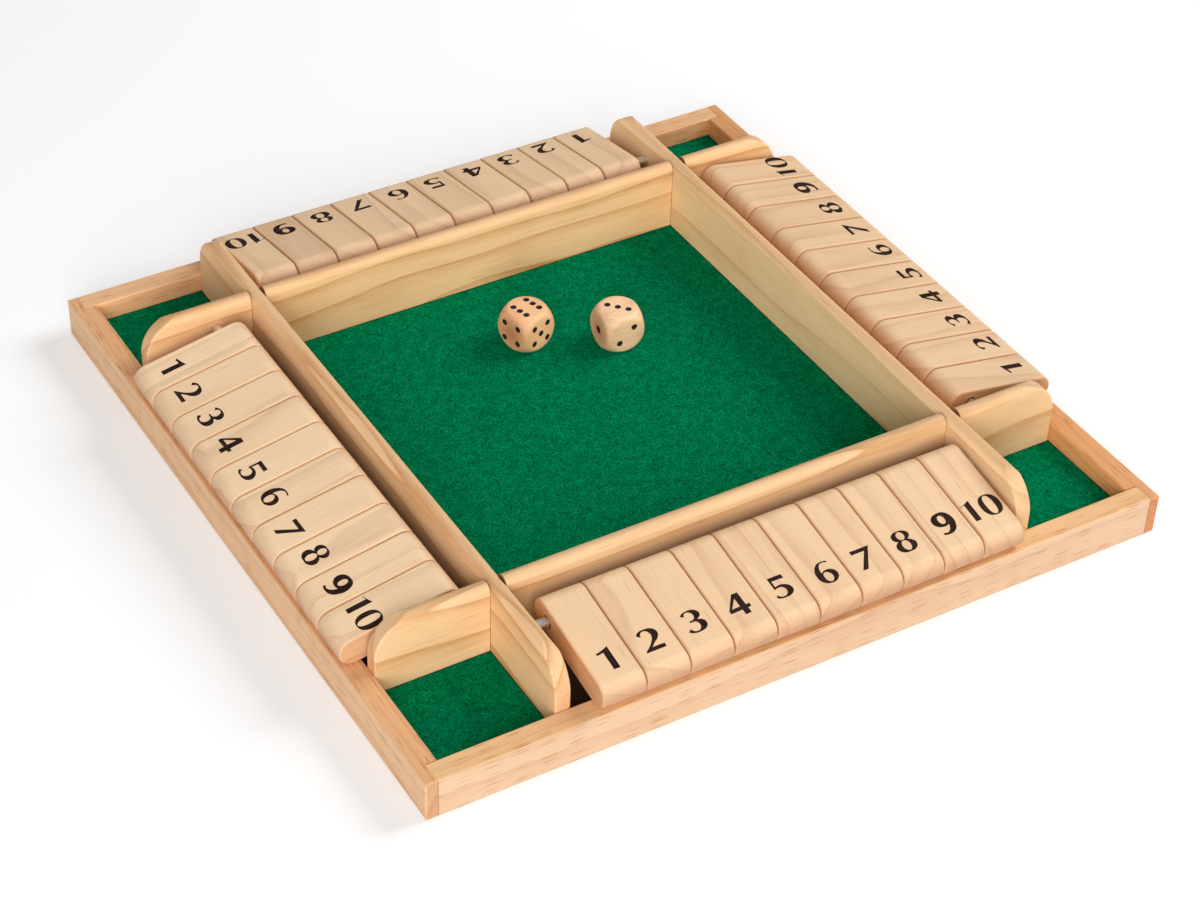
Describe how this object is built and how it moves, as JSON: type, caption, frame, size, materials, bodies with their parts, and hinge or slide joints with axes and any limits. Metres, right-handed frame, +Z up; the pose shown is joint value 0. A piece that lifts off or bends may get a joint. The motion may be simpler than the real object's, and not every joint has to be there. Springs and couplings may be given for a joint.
{
  "type": "shut the box game",
  "caption": "Square wooden dice game with a row of number tiles hinged on a steel rod along each side, a felt-lined centre tray, felt-lined corner boxes and loose dice.",
  "frame": {"origin": "centre of the square frame, on the surface that the game stands on", "axes": "+X to the right and +Y to the back of the square, +Z up out of the tray"},
  "size_m": [0.3, 0.3, 0.0375],
  "materials": {
    "rail_wood": "satin lacquer",
    "wall_wood": "satin lacquer",
    "tile_wood": "satin lacquer",
    "die_wood": "smooth, unvarnished",
    "floor_wood": "plain plywood",
    "green_felt": "matt felt",
    "rod_steel": "bright drawn steel"
  },
  "bodies": {
    "tray": {"rail_front": "rail_wood", "rail_right": "rail_wood", "rail_back": "rail_wood", "rail_left": "rail_wood", "floor_panel": "floor_wood", "felt_centre": "green_felt", "felt_front_left": "green_felt", "felt_front_right": "green_felt", "felt_back_right": "green_felt", "felt_back_left": "green_felt", "wall_front": "wall_wood", "wall_right": "wall_wood", "wall_back": "wall_wood", "wall_left": "wall_wood", "rod_front": "rod_steel", "rod_right": "rod_steel", "rod_back": "rod_steel", "rod_left": "rod_steel"},
    "front_tile_1": {"front_tile_1": "tile_wood"},
    "front_tile_2": {"front_tile_2": "tile_wood"},
    "front_tile_3": {"front_tile_3": "tile_wood"},
    "front_tile_4": {"front_tile_4": "tile_wood"},
    "front_tile_5": {"front_tile_5": "tile_wood"},
    "front_tile_6": {"front_tile_6": "tile_wood"},
    "front_tile_7": {"front_tile_7": "tile_wood"},
    "front_tile_8": {"front_tile_8": "tile_wood"},
    "front_tile_9": {"front_tile_9": "tile_wood"},
    "front_tile_10": {"front_tile_10": "tile_wood"},
    "right_tile_1": {"right_tile_1": "tile_wood"},
    "right_tile_2": {"right_tile_2": "tile_wood"},
    "right_tile_3": {"right_tile_3": "tile_wood"},
    "right_tile_4": {"right_tile_4": "tile_wood"},
    "right_tile_5": {"right_tile_5": "tile_wood"},
    "right_tile_6": {"right_tile_6": "tile_wood"},
    "right_tile_7": {"right_tile_7": "tile_wood"},
    "right_tile_8": {"right_tile_8": "tile_wood"},
    "right_tile_9": {"right_tile_9": "tile_wood"},
    "right_tile_10": {"right_tile_10": "tile_wood"},
    "back_tile_1": {"back_tile_1": "tile_wood"},
    "back_tile_2": {"back_tile_2": "tile_wood"},
    "back_tile_3": {"back_tile_3": "tile_wood"},
    "back_tile_4": {"back_tile_4": "tile_wood"},
    "back_tile_5": {"back_tile_5": "tile_wood"},
    "back_tile_6": {"back_tile_6": "tile_wood"},
    "back_tile_7": {"back_tile_7": "tile_wood"},
    "back_tile_8": {"back_tile_8": "tile_wood"},
    "back_tile_9": {"back_tile_9": "tile_wood"},
    "back_tile_10": {"back_tile_10": "tile_wood"},
    "left_tile_1": {"left_tile_1": "tile_wood"},
    "left_tile_2": {"left_tile_2": "tile_wood"},
    "left_tile_3": {"left_tile_3": "tile_wood"},
    "left_tile_4": {"left_tile_4": "tile_wood"},
    "left_tile_5": {"left_tile_5": "tile_wood"},
    "left_tile_6": {"left_tile_6": "tile_wood"},
    "left_tile_7": {"left_tile_7": "tile_wood"},
    "left_tile_8": {"left_tile_8": "tile_wood"},
    "left_tile_9": {"left_tile_9": "tile_wood"},
    "left_tile_10": {"left_tile_10": "tile_wood"},
    "die_left": {"die_left": "die_wood"},
    "die_right": {"die_right": "die_wood"}
  },
  "joints": [
    {"name": "front_tile_1_turn", "type": "hinge", "parent": "tray", "child": "front_tile_1", "pos_m": [-0.0754, -0.1122, 0.0279], "axis": [-1, 0, 0], "range_deg": [0, 143.9]},
    {"name": "front_tile_2_turn", "type": "hinge", "parent": "tray", "child": "front_tile_2", "pos_m": [-0.05815, -0.1122, 0.0279], "axis": [-1, 0, 0], "range_deg": [0, 143.9]},
    {"name": "front_tile_3_turn", "type": "hinge", "parent": "tray", "child": "front_tile_3", "pos_m": [-0.0409, -0.1122, 0.0279], "axis": [-1, 0, 0], "range_deg": [0, 143.9]},
    {"name": "front_tile_4_turn", "type": "hinge", "parent": "tray", "child": "front_tile_4", "pos_m": [-0.02365, -0.1122, 0.0279], "axis": [-1, 0, 0], "range_deg": [0, 143.9]},
    {"name": "front_tile_5_turn", "type": "hinge", "parent": "tray", "child": "front_tile_5", "pos_m": [-0.0064, -0.1122, 0.0279], "axis": [-1, 0, 0], "range_deg": [0, 143.9]},
    {"name": "front_tile_6_turn", "type": "hinge", "parent": "tray", "child": "front_tile_6", "pos_m": [0.01085, -0.1122, 0.0279], "axis": [-1, 0, 0], "range_deg": [0, 143.9]},
    {"name": "front_tile_7_turn", "type": "hinge", "parent": "tray", "child": "front_tile_7", "pos_m": [0.0281, -0.1122, 0.0279], "axis": [-1, 0, 0], "range_deg": [0, 143.9]},
    {"name": "front_tile_8_turn", "type": "hinge", "parent": "tray", "child": "front_tile_8", "pos_m": [0.04535, -0.1122, 0.0279], "axis": [-1, 0, 0], "range_deg": [0, 143.9]},
    {"name": "front_tile_9_turn", "type": "hinge", "parent": "tray", "child": "front_tile_9", "pos_m": [0.0626, -0.1122, 0.0279], "axis": [-1, 0, 0], "range_deg": [0, 143.9]},
    {"name": "front_tile_10_turn", "type": "hinge", "parent": "tray", "child": "front_tile_10", "pos_m": [0.07985, -0.1122, 0.0279], "axis": [-1, 0, 0], "range_deg": [0, 143.9]},
    {"name": "right_tile_1_turn", "type": "hinge", "parent": "tray", "child": "right_tile_1", "pos_m": [0.1122, -0.0754, 0.0279], "axis": [0, -1, 0], "range_deg": [0, 143.9]},
    {"name": "right_tile_2_turn", "type": "hinge", "parent": "tray", "child": "right_tile_2", "pos_m": [0.1122, -0.05815, 0.0279], "axis": [0, -1, 0], "range_deg": [0, 143.9]},
    {"name": "right_tile_3_turn", "type": "hinge", "parent": "tray", "child": "right_tile_3", "pos_m": [0.1122, -0.0409, 0.0279], "axis": [0, -1, 0], "range_deg": [0, 143.9]},
    {"name": "right_tile_4_turn", "type": "hinge", "parent": "tray", "child": "right_tile_4", "pos_m": [0.1122, -0.02365, 0.0279], "axis": [0, -1, 0], "range_deg": [0, 143.9]},
    {"name": "right_tile_5_turn", "type": "hinge", "parent": "tray", "child": "right_tile_5", "pos_m": [0.1122, -0.0064, 0.0279], "axis": [0, -1, 0], "range_deg": [0, 143.9]},
    {"name": "right_tile_6_turn", "type": "hinge", "parent": "tray", "child": "right_tile_6", "pos_m": [0.1122, 0.01085, 0.0279], "axis": [0, -1, 0], "range_deg": [0, 143.9]},
    {"name": "right_tile_7_turn", "type": "hinge", "parent": "tray", "child": "right_tile_7", "pos_m": [0.1122, 0.0281, 0.0279], "axis": [0, -1, 0], "range_deg": [0, 143.9]},
    {"name": "right_tile_8_turn", "type": "hinge", "parent": "tray", "child": "right_tile_8", "pos_m": [0.1122, 0.04535, 0.0279], "axis": [0, -1, 0], "range_deg": [0, 143.9]},
    {"name": "right_tile_9_turn", "type": "hinge", "parent": "tray", "child": "right_tile_9", "pos_m": [0.1122, 0.0626, 0.0279], "axis": [0, -1, 0], "range_deg": [0, 143.9]},
    {"name": "right_tile_10_turn", "type": "hinge", "parent": "tray", "child": "right_tile_10", "pos_m": [0.1122, 0.07985, 0.0279], "axis": [0, -1, 0], "range_deg": [0, 143.9]},
    {"name": "back_tile_1_turn", "type": "hinge", "parent": "tray", "child": "back_tile_1", "pos_m": [0.0754, 0.1122, 0.0279], "axis": [1, 0, 0], "range_deg": [0, 143.9]},
    {"name": "back_tile_2_turn", "type": "hinge", "parent": "tray", "child": "back_tile_2", "pos_m": [0.05815, 0.1122, 0.0279], "axis": [1, 0, 0], "range_deg": [0, 143.9]},
    {"name": "back_tile_3_turn", "type": "hinge", "parent": "tray", "child": "back_tile_3", "pos_m": [0.0409, 0.1122, 0.0279], "axis": [1, 0, 0], "range_deg": [0, 143.9]},
    {"name": "back_tile_4_turn", "type": "hinge", "parent": "tray", "child": "back_tile_4", "pos_m": [0.02365, 0.1122, 0.0279], "axis": [1, 0, 0], "range_deg": [0, 143.9]},
    {"name": "back_tile_5_turn", "type": "hinge", "parent": "tray", "child": "back_tile_5", "pos_m": [0.0064, 0.1122, 0.0279], "axis": [1, 0, 0], "range_deg": [0, 143.9]},
    {"name": "back_tile_6_turn", "type": "hinge", "parent": "tray", "child": "back_tile_6", "pos_m": [-0.01085, 0.1122, 0.0279], "axis": [1, 0, 0], "range_deg": [0, 143.9]},
    {"name": "back_tile_7_turn", "type": "hinge", "parent": "tray", "child": "back_tile_7", "pos_m": [-0.0281, 0.1122, 0.0279], "axis": [1, 0, 0], "range_deg": [0, 143.9]},
    {"name": "back_tile_8_turn", "type": "hinge", "parent": "tray", "child": "back_tile_8", "pos_m": [-0.04535, 0.1122, 0.0279], "axis": [1, 0, 0], "range_deg": [0, 143.9]},
    {"name": "back_tile_9_turn", "type": "hinge", "parent": "tray", "child": "back_tile_9", "pos_m": [-0.0626, 0.1122, 0.0279], "axis": [1, 0, 0], "range_deg": [0, 143.9]},
    {"name": "back_tile_10_turn", "type": "hinge", "parent": "tray", "child": "back_tile_10", "pos_m": [-0.07985, 0.1122, 0.0279], "axis": [1, 0, 0], "range_deg": [0, 143.9]},
    {"name": "left_tile_1_turn", "type": "hinge", "parent": "tray", "child": "left_tile_1", "pos_m": [-0.1122, 0.0754, 0.0279], "axis": [0, 1, 0], "range_deg": [0, 143.9]},
    {"name": "left_tile_2_turn", "type": "hinge", "parent": "tray", "child": "left_tile_2", "pos_m": [-0.1122, 0.05815, 0.0279], "axis": [0, 1, 0], "range_deg": [0, 143.9]},
    {"name": "left_tile_3_turn", "type": "hinge", "parent": "tray", "child": "left_tile_3", "pos_m": [-0.1122, 0.0409, 0.0279], "axis": [0, 1, 0], "range_deg": [0, 143.9]},
    {"name": "left_tile_4_turn", "type": "hinge", "parent": "tray", "child": "left_tile_4", "pos_m": [-0.1122, 0.02365, 0.0279], "axis": [0, 1, 0], "range_deg": [0, 143.9]},
    {"name": "left_tile_5_turn", "type": "hinge", "parent": "tray", "child": "left_tile_5", "pos_m": [-0.1122, 0.0064, 0.0279], "axis": [0, 1, 0], "range_deg": [0, 143.9]},
    {"name": "left_tile_6_turn", "type": "hinge", "parent": "tray", "child": "left_tile_6", "pos_m": [-0.1122, -0.01085, 0.0279], "axis": [0, 1, 0], "range_deg": [0, 143.9]},
    {"name": "left_tile_7_turn", "type": "hinge", "parent": "tray", "child": "left_tile_7", "pos_m": [-0.1122, -0.0281, 0.0279], "axis": [0, 1, 0], "range_deg": [0, 143.9]},
    {"name": "left_tile_8_turn", "type": "hinge", "parent": "tray", "child": "left_tile_8", "pos_m": [-0.1122, -0.04535, 0.0279], "axis": [0, 1, 0], "range_deg": [0, 143.9]},
    {"name": "left_tile_9_turn", "type": "hinge", "parent": "tray", "child": "left_tile_9", "pos_m": [-0.1122, -0.0626, 0.0279], "axis": [0, 1, 0], "range_deg": [0, 143.9]},
    {"name": "left_tile_10_turn", "type": "hinge", "parent": "tray", "child": "left_tile_10", "pos_m": [-0.1122, -0.07985, 0.0279], "axis": [0, 1, 0], "range_deg": [0, 143.9]},
    {"name": "die_left_lift", "type": "slide", "parent": "tray", "child": "die_left", "axis": [0, 0, 1], "range_m": [0, 0.06]},
    {"name": "die_right_lift", "type": "slide", "parent": "tray", "child": "die_right", "axis": [0, 0, 1], "range_m": [0, 0.06]}
  ]
}
